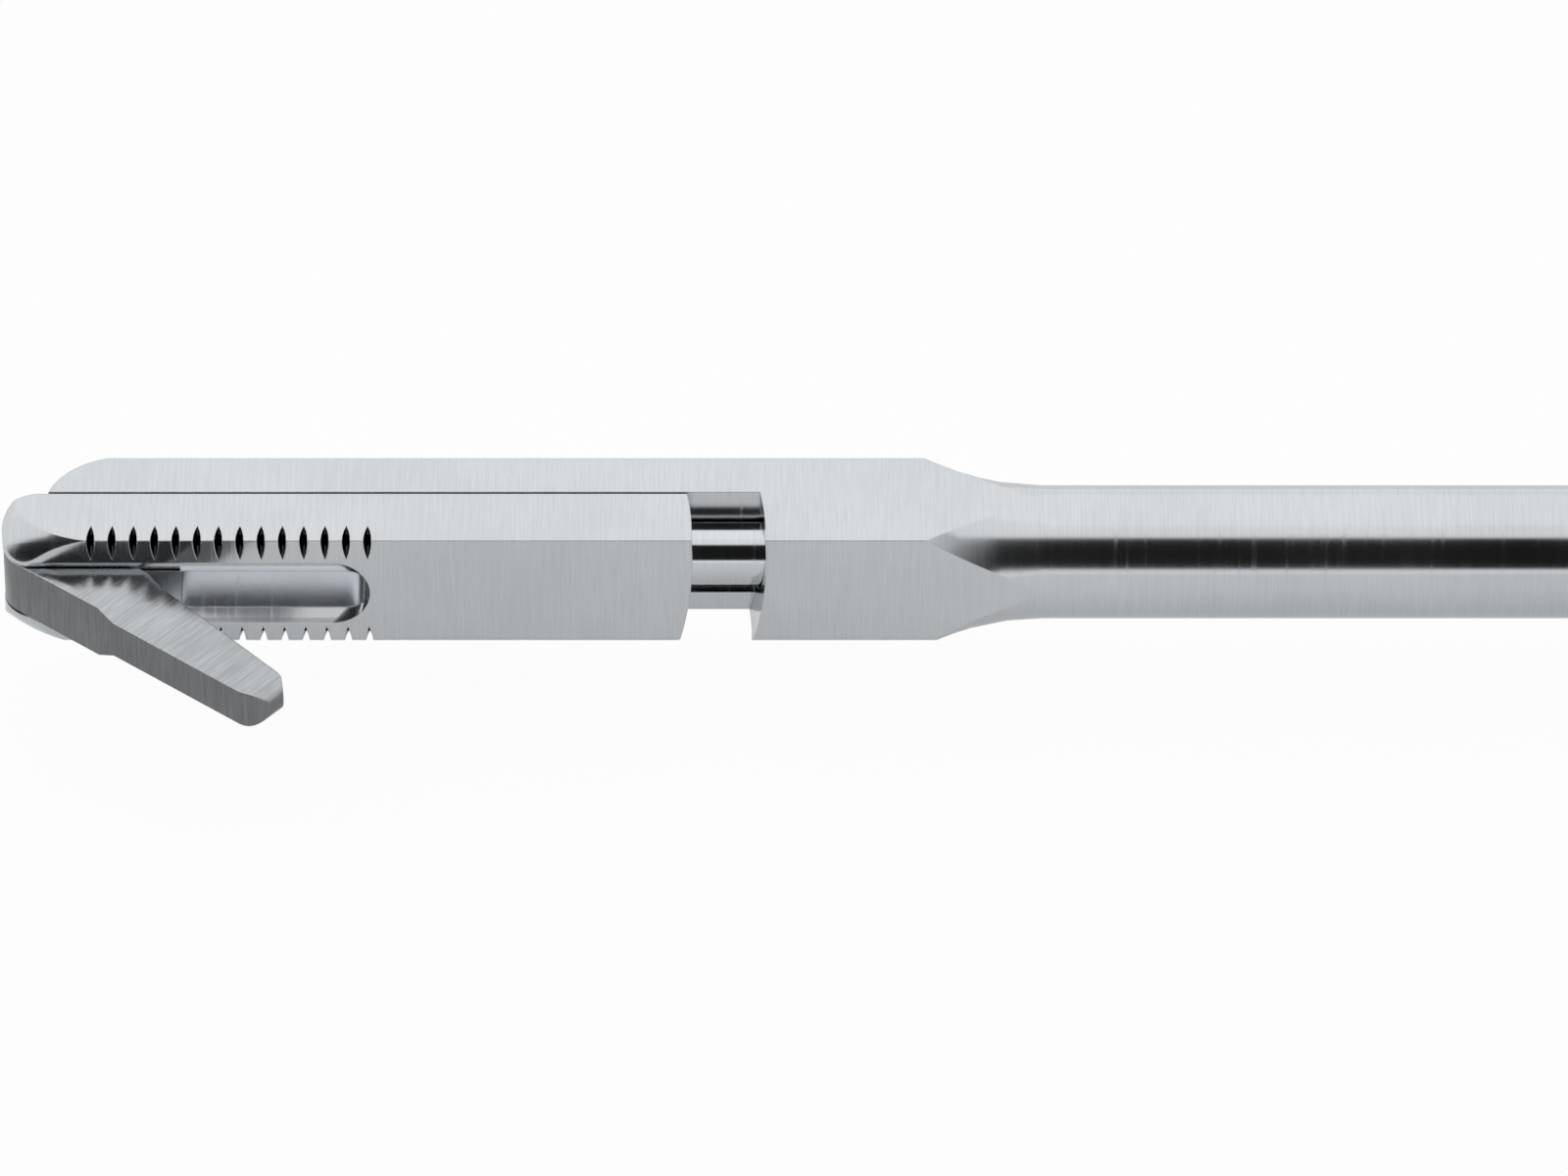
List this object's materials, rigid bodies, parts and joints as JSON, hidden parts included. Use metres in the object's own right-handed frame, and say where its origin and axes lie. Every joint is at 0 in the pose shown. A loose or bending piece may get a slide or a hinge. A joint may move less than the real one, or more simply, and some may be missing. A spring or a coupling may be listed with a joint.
{
  "type": "antrum punch",
  "caption": "Backward cutting sinus punch: slim round shaft, serrated sliding jaw with a hinged blade at its nose, ring handle with lever and bow spring.",
  "frame": {"origin": "on the shaft axis, in the middle of the round stretch between the square head and the collar", "axes": "+X along the shaft towards the handle, -Y towards the finger rings and the side the blade opens to, +Z square to the plane of the handle"},
  "size_m": [0.1823, 0.0766, 0.0088],
  "materials": {
    "brushed": "finely brushed stainless steel",
    "blade": "ground stainless steel",
    "polished": "polished stainless steel",
    "satin": "satin stainless steel",
    "spring": "tempered spring steel"
  },
  "bodies": {
    "handle": {"handle_body": "satin", "outer_shaft": "brushed", "front_bush": "polished", "rear_bush": "polished", "shaft_collar": "polished", "shaft_lock_screw": "polished", "pivot_screw": "polished", "stop_screw": "polished", "stop_nut": "polished", "bow_spring": "spring", "spring_screw": "polished"},
    "slider": {"jaw_slider": "brushed", "pull_rod": "polished", "rod_ball": "polished", "rod_lock_nut": "polished", "blade_pivot_pin": "polished"},
    "blade": {"cutting_blade": "blade", "cam_pin": "polished"},
    "lever": {"handle_lever": "satin", "pivot_bush": "polished", "pivot_washers": "polished"}
  },
  "joints": [
    {"name": "lever_pivot", "type": "hinge", "parent": "handle", "child": "lever", "pos_m": [0.06, -0.007, 0], "axis": [0, 0, -1], "range_deg": [0, 17.18], "stiffness_Nm_per_rad": 0.6, "springref_deg": -11.46, "deforming": ["bow_spring"]},
    {"name": "jaw_slide", "type": "slide", "parent": "handle", "child": "slider", "axis": [1, 0, 0], "range_m": [0, 0.0021]},
    {"name": "blade_pivot", "type": "hinge", "parent": "slider", "child": "blade", "pos_m": [-0.07501, -0.00086, 0], "axis": [0, 0, 1], "range_deg": [0, 40]}
  ],
  "couplings": [
    {"joint": "jaw_slide", "follows": "lever_pivot", "m_per_rad": 0.007},
    {"joint": "blade_pivot", "follows": "lever_pivot", "ratio": 2.3271}
  ]
}
